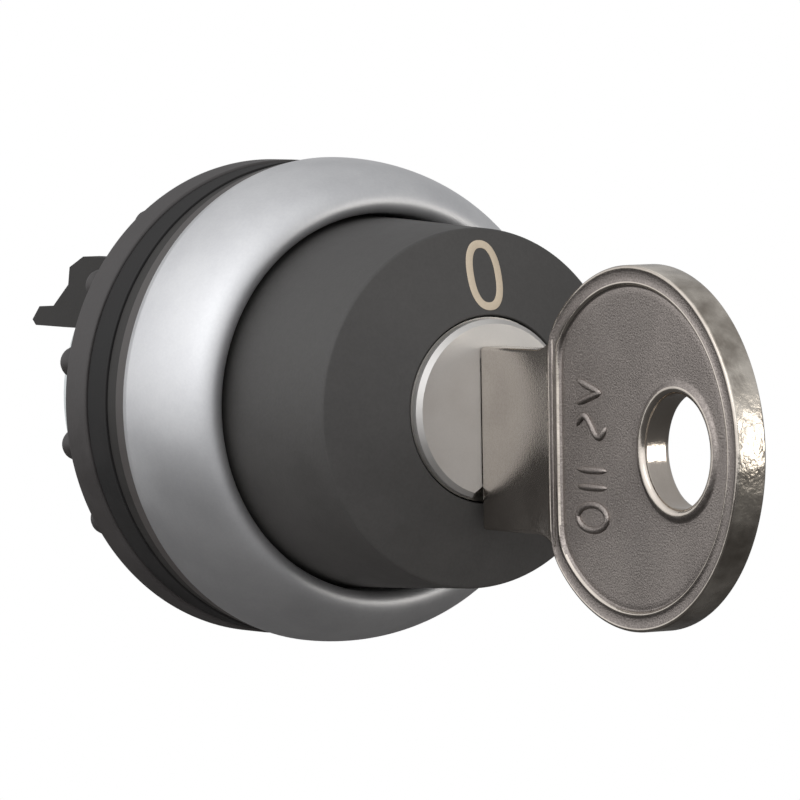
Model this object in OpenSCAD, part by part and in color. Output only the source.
// Key-operated selector switch front for a 22 mm control-panel hole.
// The switch axis is Y: the key goes in from -Y, the contact side is +Y, +Z is up.
// The origin is on the axis, in the plane where the gasket meets the panel.

/* [Bezel and housing] */
// Radius of the bezel ring at its rear edge
bezel_r = 14.85; // [14.4:0.05:15.2]
// Distance from the panel to the bezel's rear edge
bezel_y = 4.86; // [4.6:0.02:5.4]
// Height of the bezel's rounded outside, from rear edge to crest
bezel_rise = 6.4; // [5.6:0.1:7]
// Radius of the bezel's crest
crest_r = 12.2; // [12.0:0.05:12.6]
// Inner radius of the bezel's lip
lip_r = 11.5; // [11.4:0.05:11.6]
// Outer radius of the collar that passes through the panel
collar_r = 11.0; // [10.8:0.05:11.1]
// Length of the collar behind the panel plane
collar_len = 7.6; // [7:0.1:8]
// Radius of the gasket
gasket_r = 14.5; // [14:0.1:14.7]
// Thickness of the gasket
gasket_t = 2.4; // [2.2:0.1:2.5]

/* [Ring nut] */
// Radius of the nut's rim
nut_r = 14.64; // [14.2:0.02:15]
// Width of the nut's rim
nut_t = 2.42; // [2.2:0.02:3]
// Length of the nut with its rear hub
nut_hub_len = 4.3; // [4:0.1:4.3]
// Number of finger domes round the rim
nut_domes = 16; // [12:1:20]

/* [Head] */
// Radius of the head's front edge
head_front_r = 10.77; // [10.4:0.01:10.9]
// Radius of the head's base
head_base_r = 11.4; // [11.3:0.01:11.42]
// Distance from the panel to the head's front edge
head_front_y = 20.8; // [20.5:0.1:21.2]
// Rise of the sloped face from its edge to the plug
face_rise = 1.7; // [1.4:0.1:2]
// Outer length of the position marks
mark_len = 4.15; // [3.6:0.05:4.6]
// Width of the zero
mark_w = 2.45; // [2:0.05:3]
// Stroke of the position marks
mark_stroke = 0.47; // [0.4:0.01:0.7]

/* [Lock] */
// Radius of the turning plug
plug_r = 5.5; // [5.3:0.05:5.5]
// Radial gap round the plug in the barrel
plug_gap = 0.05; // [0.03:0.01:0.08]
// Number of wafers
wafer_count = 5; // [3:1:5]
// Distance between wafers
wafer_pitch = 2.4; // [2.2:0.1:2.5]
// Turn of the key from 0 to I, in degrees
turn_angle = 60; // [60:1:60]

/* [Key] */
// Radius of the key's round bow
bow_r = 10.64; // [10:0.02:11.5]
// Thickness of the key
key_t = 2.03; // [1.8:0.01:2.1]
// Radius of the key-ring hole
ring_hole_r = 3.32; // [2.5:0.02:3.5]
// Length of the blade behind the shoulder
blade_len = 15; // [12:0.5:15]
// Height of the blade
blade_h = 6.4; // [5.6:0.1:6.4]

/* [Contact side] */
// Stroke of the plungers over the whole turn
stroke = 2.5; // [2:0.1:2.6]
// Distance of the plungers from the axis
plunger_x = 6.7; // [6.6:0.05:6.8]
// Radius of the plungers' stems
plunger_r = 1.2; // [1.1:0.05:1.25]

/* [Hidden] */
$fn = 96;

black = [0.20, 0.20, 0.20];
grey = [0.33, 0.32, 0.31];
silver = [0.80, 0.81, 0.83];
steel = [0.62, 0.60, 0.57];
brass = [0.72, 0.62, 0.38];
cream = [0.85, 0.80, 0.68];
light = [0.82, 0.84, 0.84];

cut = 0.5; // how far a cutter runs past the face it cuts
wall = 1.0; // wall of the bezel shell

// Housing: a flange in front of the panel and the collar through it
plate_y = 6.85; // front of the plate that closes the bezel
plate_r = 13.2;
skirt_t = 1.15; // the flange's rim, next to the bezel
groove_depth = 0.2;
undercut_y = [4.4, 5.4]; // a groove in the collar where the free end of the thread starts
undercut = 0.3;
chamber_r = 9.4; // inside the collar, round the cam
tail_bore_r = 9.1; // round the head's tail
chamber_y = -1.0; // where the tail's bore meets the chamber
lug_w = 3.0; // the lug that stops the switch turning in its hole
lug_r = 12.5;
lug_len = 1.0;
seal_r = 10.2; // middle of the seal under the head
seal_t = 0.45;

// Ring nut
nut_gap = 0.08;
nut_recess_r = 12.8;
nut_recess = 1.25;
nut_hub_r = 12.6;
dome_r = 1.0;
dome_out = 12.9;
dome_y = 4.2;
dome_turn = 11; // turns the domes so that none stands at the side

// Head: a cup whose sloped face has the position marks
head_hole_r = 5.6;
head_tail_r = 9.0;
head_bore_r = 8.3;
head_wall_y = 20.0; // inside of the front wall
head_floor_y = 7.0;
edge_round = 0.25;
face_top_y = head_front_y + face_rise;
mark_depth = 0.3;
mark_proud = 0.03;
mark_centre = 7.97; // distance of the marks from the axis
mark_turn = 2; // turns both marks a little clockwise

// Lock barrel, and the plug that turns in it
barrel_r = 8.2;
barrel_front_y = 19.9;
barrel_rear_y = 3.2;
web_t = 1.0;
tail_r = 3.6;
channel_w = 5.1; // the grooves that the wafers drop into
channel_r = 6.5;
channel_rear_y = 8.0;
bore_r = plug_r + plug_gap;
rim_r = 6.7; // distance of the stop pin and the detent ball from the axis
pin_r = 0.7;
pin_depth = 2.0;
pin_reach = 1.3;
pin_angle = 100; // measured round the axis from +X towards -Z
ball_r = 0.9;
ball_y = 3.1;
ball_angle = -60;
spring_hole_len = 5;

cap_r = 5.4;
cap_bevel = 0.28;
cap_front_y = 23.0;
cap_rear_y = 22.3;
spigot_r = 5.0;
spigot_y = 22.6;
plug_rear_y = barrel_rear_y + web_t + 0.05;
tail_end_y = 2.55;
square = 5.0; // the square tail that drives the cam
square_end_y = 1.35;
clip_groove_r = 3.2;
clip_r = 4.6;
clip_y = [3.15, 2.6];
oring_y = 21.15;
oring_r = 5.05;
oring_t = 0.4;
slot_w = 2.0; // the keyway
cap_slot_w = 1.94; // its mouth in the cap
slot_top = 2.6;
slot_low = -4.0;
slot_rear_y = 7.7;

// Wafers: thin plates with a window for the blade, each with a spring at its side
wafer_t = 0.8;
wafer_front_y = 18.6;
wafer_w = 4.8;
wafer_trim_r = 5.4;
window_w = 2.3;
window_top = 3.5;
window_low = -4.05;
wafer_slot = 1.0;
lug_x = 4.1;
lug_top = 0.8;
ledge = 3.3;
pocket_low = -1.1;

// Cam: a disc with two ramps that push the plungers
disc_front_y = -2.5;
disc_rear_y = -1.3;
disc_r = 8.2;
ramp_in = 5.2;
ramp_out = 8.0;
ramp_lead = 10; // degrees of ramp before the plunger's tip
ramp_span = turn_angle + 2 * ramp_lead;
slope = stroke / turn_angle; // rise in mm for each degree
ramp_steps = 20;
screw_r = 1.5;
screw_head_r = 2.8;
screw_head_t = 1.7;
screw_len = 6.2;

// Plungers, and the light body that guides them
ramp_angle = atan(slope * 180 / PI / plunger_x);
tip_gap = 0.2;
tip_y = disc_rear_y + slope * ramp_lead + plunger_r / cos(ramp_angle) + tip_gap;
flange_y = 1.5;
flange_t = 0.7;
flange_r = 1.9;
plunger_end_y = 11.6;
guide_r = 10.6;
guide_rear_y = 9.6;
guide_wall_y = 8.2;
skirt_front_y = 3.4;
skirt_out = 9.35;
skirt_in = 8.75;
hole_gap = 0.08;

// Rear clip: the ring behind the guide, with two claws
clip_plate_r = 9.6;
clip_plate_t = 1.2;
claw_x = 6.7; // outside face of a claw
claw_t = 1.2;
clip_screw_z = 7.0;
clip_screw_r = 1.0;
boss_r = 1.9;
boss_front_y = 6.4;

// Key
bow_y = 38.7; // centre of the bow
bow_z = -1.67;
flat_y = 30.05; // the flat edge on the lock side
stem_h = 10.9;
shoulder_y = 23.05;
ring_hole_y = 43.1;
rim_w = 1.05; // the raised border of the bow
rim_h = 0.18;
chamfer = 0.2;
boss_w = 0.72; // the raised ring round the key-ring hole
blade_t = 1.8;
blade_z = -0.7;
bitting = [0.9, 0.5, 1.1, 0.7, 0.9]; // depth of each cut, from the shoulder to the tip

// Turns a shape drawn along Z so that it runs along the switch axis, rear end at +Y
module on_axis() { rotate([-90, 0, 0]) children(); }

// A body of revolution: each point is [radius, distance behind the panel plane]
module turned(points) { on_axis() rotate_extrude() polygon(points); }

// A ring or disc between two radii and two distances along the axis
module ring(r_out, r_in, y_front, y_rear) {
    turned([[r_in, y_front], [r_out, y_front], [r_out, y_rear], [r_in, y_rear]]);
}

module disc(r, y_front, y_rear) {
    translate([0, y_front, 0]) on_axis() cylinder(r = r, h = y_rear - y_front);
}

// A box given by its limits along each axis
module block(x, y, z) {
    translate([x[0], y[0], z[0]]) cube([x[1] - x[0], y[1] - y[0], z[1] - z[0]]);
}

// Puts a child at a distance from the axis and an angle round it
module around(r, angle) { rotate([0, angle, 0]) translate([r, 0, 0]) children(); }

// One quarter of an ellipse from the rear edge to the crest, pulled in by inset
function bezel_curve(inset) = [for (i = [0:14]) let (a = i * 90 / 14)
    [crest_r + (bezel_r - inset - crest_r) * cos(a), -bezel_y - (bezel_rise - inset) * sin(a)]];

module bezel_ring() {
    outside = bezel_curve(0);
    inside = bezel_curve(wall);
    lip_y = -bezel_y - bezel_rise;
    color(silver) turned(concat(
        outside,
        [[lip_r + 0.25, lip_y + 0.12], [lip_r, lip_y + 0.4], [lip_r, -plate_y], [crest_r, -plate_y]],
        [for (i = [14:-1:0]) if (inside[i][1] <= -plate_y || i == 0) inside[i]]));
}

module housing() {
    skirt_r = bezel_r - 0.15;
    rear = -gasket_t;
    color(black) difference() {
        union() {
            turned([[tail_bore_r, -plate_y], [plate_r, -plate_y], [plate_r, -bezel_y],
                [skirt_r, -bezel_y], [skirt_r, -bezel_y + skirt_t],
                [skirt_r - groove_depth, -bezel_y + skirt_t], [skirt_r - groove_depth, rear],
                [collar_r, rear], [collar_r, undercut_y[0]], [collar_r - undercut, undercut_y[0]],
                [collar_r - undercut, undercut_y[1]], [collar_r, undercut_y[1]],
                [collar_r, collar_len], [chamber_r, collar_len],
                [chamber_r, chamber_y], [tail_bore_r, chamber_y]]);
            block([-lug_w / 2, lug_w / 2], [0, lug_len], [collar_r - cut, lug_r]);
        }
        ring(seal_r + 0.5, seal_r - 0.5, -plate_y - cut, -plate_y + 0.75);
    }
}

module gasket() {
    lip = 0.12;
    inner = collar_r + 0.05;
    color(black) turned([[inner, -gasket_t], [gasket_r + lip, -gasket_t], [gasket_r + lip, -gasket_t + lip],
        [gasket_r, -gasket_t + 2 * lip], [gasket_r, 0], [inner, 0]]);
}

module ring_nut() {
    bore = collar_r + nut_gap;
    color(grey) {
        turned([[nut_recess_r, 0], [nut_r - 0.15, 0], [nut_r, 0.15], [nut_r, nut_t],
            [nut_hub_r, nut_t], [nut_hub_r, nut_hub_len], [bore, nut_hub_len], [bore, nut_recess],
            [nut_recess_r, nut_recess]]);
        for (i = [0:nut_domes - 1])
            around(dome_out, dome_turn + i * 360 / nut_domes) translate([0, dome_y, 0]) sphere(r = dome_r);
    }
}

// The outlines of the two position marks, drawn upright and centred
module stadium(w, h) {
    square([w, h - w], center = true);
    for (s = [-1, 1]) translate([0, s * (h - w) / 2]) circle(d = w);
}

module zero_outline() {
    difference() {
        stadium(mark_w, mark_len);
        stadium(mark_w - 2 * mark_stroke, mark_len - 2 * mark_stroke);
    }
}

module one_outline() { square([mark_stroke, mark_len], center = true); }

// Carries an outline forward through the head's face, turned to its key position
module through_face(angle) {
    rotate([0, angle + mark_turn, 0]) rotate([90, 0, 0]) translate([0, mark_centre, head_wall_y])
        linear_extrude(4) children();
}

// A layer that follows the sloped face, from below it to above it
module face_layer(below, above) {
    turned([[head_hole_r, -face_top_y - above], [head_front_r, -head_front_y - above],
        [head_front_r, -head_front_y + below], [head_hole_r, -face_top_y + below]]);
}

module head() {
    color(grey) difference() {
        turned([[head_hole_r, -face_top_y], [head_front_r - edge_round, -head_front_y - 0.04],
            [head_front_r - 0.07, -head_front_y + 0.07], [head_front_r, -head_front_y + edge_round],
            [head_base_r, -head_floor_y], [head_tail_r, -head_floor_y],
            [head_tail_r, chamber_y], [head_bore_r, chamber_y], [head_bore_r, -head_wall_y],
            [head_hole_r, -head_wall_y]]);
        ring(8.7, head_bore_r - cut, -barrel_rear_y, -clip_y[1]);
        intersection() {
            union() {
                through_face(0) zero_outline();
                through_face(turn_angle) one_outline();
            }
            face_layer(mark_depth, 1);
        }
    }
}

module zero_mark() {
    color(cream) intersection() {
        through_face(0) zero_outline();
        face_layer(mark_depth, mark_proud);
    }
}

module one_mark() {
    color(cream) intersection() {
        through_face(turn_angle) one_outline();
        face_layer(mark_depth, mark_proud);
    }
}

// A round seal: a torus about the axis
module oring(r, t, y) {
    color(black) translate([0, y, 0]) on_axis() rotate_extrude() translate([r, 0]) circle(r = t);
}

module head_seal() { oring(seal_r, seal_t, -head_floor_y + seal_t); }

module plug_seal() { oring(oring_r, oring_t, -oring_y); }

module lock_barrel() {
    color(steel) difference() {
        disc(barrel_r, -barrel_front_y, -barrel_rear_y);
        disc(bore_r, -barrel_front_y - cut, -barrel_rear_y - web_t);
        disc(tail_r + plug_gap, -barrel_rear_y - web_t - cut, -barrel_rear_y + cut);
        for (a = [0, turn_angle]) rotate([0, a, 0]) intersection() {
            block([-channel_w / 2, channel_w / 2], [-barrel_front_y - cut, -channel_rear_y], [-channel_r, -2]);
            disc(channel_r, -barrel_front_y - cut, -channel_rear_y);
        }
        around(rim_r, pin_angle) disc(pin_r, -barrel_rear_y - pin_depth, -barrel_rear_y + cut);
        around(rim_r, ball_angle) disc(ball_r + 0.05, -barrel_rear_y - spring_hole_len, -barrel_rear_y + cut);
    }
}

module barrel_ring() {
    color(steel) difference() {
        ring(8.65, 7.75, -barrel_rear_y, -clip_y[1]);
        block([-1, 1], [-barrel_rear_y - cut, 0], [-9, -7]);
    }
}

module stop_pin() {
    color(steel) around(rim_r, pin_angle) disc(pin_r, -barrel_rear_y - pin_depth, -barrel_rear_y + pin_reach);
}

module detent_ball() { color(steel) around(rim_r, ball_angle) translate([0, -ball_y, 0]) sphere(r = ball_r); }

// A coil spring as a stack of rings about the Y axis, joined by its bore wall
module coil(r, wire, y_front, y_rear, turns) {
    pitch = (y_rear - y_front - 2 * wire) / (turns - 1);
    color(steel) {
        for (i = [0:turns - 1]) translate([0, y_front + wire + i * pitch, 0])
            on_axis() rotate_extrude($fn = 40) translate([r - wire, 0]) circle(r = wire, $fn = 16);
        ring(r - 0.8 * wire, r - 1.4 * wire, y_front + wire, y_rear - wire);
    }
}

module detent_spring() {
    around(rim_r, ball_angle)
        coil(0.8, 0.12, -barrel_rear_y - spring_hole_len, -ball_y - ball_r, 7);
}

// One pocket across the plug for a wafer and its spring
module wafer_slots() {
    for (i = [0:wafer_count - 1]) {
        y = -wafer_front_y + i * wafer_pitch;
        span = [y - wafer_slot / 2, y + wafer_slot / 2];
        block([-wafer_w / 2 - 0.1, wafer_w / 2 + 0.1], span, [-plug_r - cut, plug_r + cut]);
        block([0, lug_x + 0.1], span, [pocket_low, ledge]);
    }
}

module plug() {
    color(brass) difference() {
        union() {
            disc(spigot_r, -spigot_y, -cap_rear_y + cut);
            disc(plug_r, -cap_rear_y, -plug_rear_y);
            disc(tail_r, -plug_rear_y - cut, -tail_end_y);
            block([-square / 2, square / 2], [-tail_end_y - cut, -square_end_y], [-square / 2, square / 2]);
        }
        ring(plug_r + cut, oring_r - oring_t - 0.05, -oring_y - 0.45, -oring_y + 0.45);
        ring(tail_r + cut, clip_groove_r, -clip_y[0], -clip_y[1]);
        block([-slot_w / 2, slot_w / 2], [-spigot_y - cut, -slot_rear_y], [slot_low, slot_top]);
        disc(screw_r, disc_rear_y - screw_len - 0.1, 0);
        wafer_slots();
    }
}

module plug_cap() {
    notch = 1.5;
    color(silver) difference() {
        turned([[0, -cap_front_y], [cap_r - cap_bevel, -cap_front_y], [cap_r, -cap_front_y + cap_bevel],
            [cap_r, -cap_rear_y], [spigot_r, -cap_rear_y], [spigot_r, -spigot_y], [0, -spigot_y]]);
        block([-cap_slot_w / 2, cap_slot_w / 2], [-cap_front_y - cut, 0], [slot_low - 0.4, slot_top + 0.5]);
        rotate([90, 0, 0]) linear_extrude(cap_front_y + cut)
            polygon([[-notch, -cap_r - cut], [notch, -cap_r - cut], [notch, -4.9], [0.9, -4.5],
                [-0.9, -4.5], [-notch, -4.9]]);
    }
}

module wafers() {
    color(brass) for (i = [0:wafer_count - 1]) {
        y = -wafer_front_y + i * wafer_pitch;
        span = [y - wafer_t / 2, y + wafer_t / 2];
        difference() {
            union() {
                intersection() {
                    block([-wafer_w / 2, wafer_w / 2], span, [-plug_r, 4.5]);
                    disc(wafer_trim_r, span[0], span[1]);
                }
                block([0, lug_x], span, [0, lug_top]);
            }
            block([-window_w / 2, window_w / 2], [y - wafer_t, y + wafer_t], [window_low, window_top]);
        }
    }
}

module wafer_springs() {
    for (i = [0:wafer_count - 1])
        translate([3.5, -wafer_front_y + i * wafer_pitch, 0]) rotate([90, 0, 0])
            coil(0.4, 0.09, lug_top, ledge, 5);
}

module plug_circlip() {
    color(steel) difference() {
        ring(clip_r, clip_groove_r, -clip_y[0], -clip_y[1]);
        block([-1.6, 1.6], [-clip_y[0] - cut, 0], [-6, -2]);
    }
}

// A ramp that climbs rearwards as it runs round the axis, as a closed band of facets
module ramp() {
    function rise(i) = disc_rear_y + slope * ramp_span * i / ramp_steps;
    function turn(i) = -ramp_lead + ramp_span * i / ramp_steps;
    function at(r, i, y) = [r * cos(turn(i)), y, r * sin(turn(i))];
    n = ramp_steps + 1;
    points = concat(
        [for (i = [0:ramp_steps]) at(ramp_in, i, disc_rear_y - cut)],
        [for (i = [0:ramp_steps]) at(ramp_out, i, disc_rear_y - cut)],
        [for (i = [0:ramp_steps]) at(ramp_in, i, rise(i) + 0.02)],
        [for (i = [0:ramp_steps]) at(ramp_out, i, rise(i) + 0.02)]);
    strips = [for (i = [0:ramp_steps - 1]) each [
        [i, i + 1, n + i + 1, n + i],
        [2 * n + i, 3 * n + i, 3 * n + i + 1, 2 * n + i + 1],
        [i, 2 * n + i, 2 * n + i + 1, i + 1],
        [n + i, n + i + 1, 3 * n + i + 1, 3 * n + i]]];
    ends = [[0, n, 3 * n, 2 * n], [n - 1, 3 * n - 1, 4 * n - 1, 2 * n - 1]];
    polyhedron(points, concat(strips, ends));
}

module cam() {
    color(light) difference() {
        union() {
            disc(disc_r, disc_front_y, disc_rear_y);
            for (a = [0, 180]) rotate([0, a, 0]) ramp();
        }
        block([-square / 2 - 0.03, square / 2 + 0.03], [disc_front_y - cut, disc_rear_y + cut],
            [-square / 2 - 0.03, square / 2 + 0.03]);
        arc_slot(pin_r + 0.15, pin_angle, disc_front_y - cut, disc_rear_y + cut);
        arc_slot(ball_r, ball_angle, disc_front_y - cut, disc_front_y + 0.5);
    }
}

// A slot that follows the turn of the cam from an angle backwards, with room at both ends
module arc_slot(half_w, angle, y_front, y_rear) {
    end = asin(half_w / rim_r);
    rotate([0, angle - turn_angle - end, 0]) translate([0, y_front, 0]) on_axis()
        rotate_extrude(angle = turn_angle + 2 * end)
            translate([rim_r - half_w, 0]) square([2 * half_w, y_rear - y_front]);
}

module cam_screw() {
    color(steel) difference() {
        union() {
            disc(screw_head_r, disc_rear_y, disc_rear_y + screw_head_t);
            disc(screw_r, disc_rear_y - screw_len, disc_rear_y + cut);
        }
        for (a = [0, 90]) rotate([0, a, 0])
            block([-1.6, 1.6], [disc_rear_y + screw_head_t - 0.9, 2], [-0.35, 0.35]);
    }
}

module plunger() {
    color("white") {
        translate([0, tip_y, 0]) sphere(r = plunger_r);
        disc(plunger_r, tip_y, plunger_end_y);
        disc(flange_r, flange_y, flange_y + flange_t);
    }
}

module plunger_left() { translate([-plunger_x, 0, 0]) plunger(); }

module plunger_right() { translate([plunger_x, 0, 0]) plunger(); }

module plunger_spring() { coil(flange_r - 0.05, 0.2, flange_y + flange_t, guide_wall_y, 5); }

module plunger_spring_left() { translate([-plunger_x, 0, 0]) plunger_spring(); }

module plunger_spring_right() { translate([plunger_x, 0, 0]) plunger_spring(); }

// The two bores that the plungers run in
module plunger_holes(y_front, y_rear) {
    for (s = [-1, 1]) translate([s * plunger_x, 0, 0]) disc(plunger_r + hole_gap, y_front, y_rear);
}

module rear_guide() {
    color(light) difference() {
        union() {
            turned([[0, guide_wall_y], [skirt_in, guide_wall_y], [skirt_in, skirt_front_y],
                [skirt_out, skirt_front_y], [skirt_out, collar_len], [guide_r, collar_len],
                [guide_r, guide_rear_y - 0.3], [guide_r - 0.3, guide_rear_y], [0, guide_rear_y]]);
            for (s = [-1, 1]) translate([0, 0, s * clip_screw_z]) disc(boss_r - 0.2, boss_front_y, guide_wall_y + cut);
        }
        plunger_holes(guide_wall_y - cut, guide_rear_y + cut);
        for (s = [-1, 1]) translate([0, 0, s * clip_screw_z]) disc(clip_screw_r, boss_front_y - cut, guide_rear_y + cut);
    }
}

// One claw seen from the side: a step, a slope down and a thin hooked tip
module claw() {
    y0 = guide_rear_y;
    rotate([90, 0, 90]) linear_extrude(claw_t)
        polygon([[y0, 4.1], [y0 + 5.6, 4.1], [y0 + 9.6, 4.15], [y0 + 10, 4.5], [y0 + 9.1, 5.35],
            [y0 + 7.4, 5.4], [y0 + 5.5, 6.8], [y0 + 5.3, 7.9], [y0 + 3.6, 8.6], [y0, 8.6]]);
}

module rear_clip() {
    rear = guide_rear_y + clip_plate_t;
    color(black) difference() {
        union() {
            disc(clip_plate_r, guide_rear_y, rear);
            translate([claw_x - claw_t, 0, 0]) claw();
            translate([-claw_x, 0, 0]) claw();
        }
        plunger_holes(guide_rear_y - cut, rear + cut);
        disc(3, guide_rear_y - cut, rear + cut);
        for (s = [-1, 1]) translate([0, 0, s * clip_screw_z]) disc(clip_screw_r, guide_rear_y - cut, rear + cut);
    }
}

module clip_screws() {
    rear = guide_rear_y + clip_plate_t;
    color(steel) for (s = [-1, 1]) translate([0, 0, s * clip_screw_z]) difference() {
        union() {
            disc(clip_screw_r, boss_front_y + 0.2, rear + cut);
            disc(boss_r, rear, rear + 1.1);
        }
        for (a = [0, 90]) rotate([0, a, 0]) block([-1.1, 1.1], [rear + 0.5, rear + 2], [-0.25, 0.25]);
    }
}

// The bow's outline, pulled in by inset: a circle with a flat on the lock side
module bow(inset, half_t) {
    intersection() {
        translate([-half_t, -bow_y, bow_z]) rotate([0, 90, 0]) cylinder(r = bow_r - inset, h = 2 * half_t);
        block([-half_t, half_t], [-bow_y - bow_r, -flat_y - inset], [bow_z - bow_r, bow_z + bow_r]);
    }
}

module key() {
    half = key_t / 2;
    tip = -shoulder_y + blade_len;
    low = blade_z - blade_h / 2;
    top = blade_z + blade_h / 2;
    color(steel) difference() {
        union() {
            bow(0, half);
            block([-half, half], [-flat_y - cut, -shoulder_y], [bow_z - stem_h / 2, bow_z + stem_h / 2]);
            block([-blade_t / 2, blade_t / 2], [-shoulder_y - cut, tip], [low, top]);
        }
        for (s = [-1, 1]) {
            difference() {
                translate([s * half, 0, 0]) bow(rim_w, rim_h);
                translate([-key_t, -ring_hole_y, bow_z]) rotate([0, 90, 0]) cylinder(r = ring_hole_r + boss_w, h = 2 * key_t);
            }
            translate([s * (half - chamfer / 2 + 0.01), -ring_hole_y, bow_z]) rotate([0, s * 90, 0])
                translate([0, 0, -chamfer / 2]) cylinder(r1 = ring_hole_r, r2 = ring_hole_r + chamfer, h = chamfer);
            translate([s * blade_t / 2, 0, 0]) block([-0.25, 0.25], [-shoulder_y + 0.6, tip + cut], [-1.1, 0.3]);
        }
        translate([-key_t, -ring_hole_y, bow_z]) rotate([0, 90, 0]) cylinder(r = ring_hole_r, h = 2 * key_t);
        translate([-key_t, 0, 0]) rotate([90, 0, 90]) linear_extrude(2 * key_t) {
            polygon([[tip - 1.8, low - cut], [tip + cut, low - cut], [tip + cut, low + 2]]);
            polygon([[tip - 1.8, top + cut], [tip + cut, top + cut], [tip + cut, top - 2]]);
            for (i = [0:wafer_count - 1]) translate([-wafer_front_y + i * wafer_pitch, low])
                polygon([[-0.5 - bitting[i], -0.01], [-0.5, bitting[i]], [0.5, bitting[i]], [0.5 + bitting[i], -0.01]]);
        }
    }
}

bezel_ring();
housing();
gasket();
ring_nut();
head();
zero_mark();
one_mark();
head_seal();
lock_barrel();
barrel_ring();
stop_pin();
detent_ball();
detent_spring();
plug();
plug_cap();
plug_seal();
wafers();
wafer_springs();
plug_circlip();
cam();
cam_screw();
plunger_left();
plunger_right();
plunger_spring_left();
plunger_spring_right();
rear_guide();
rear_clip();
clip_screws();
key();
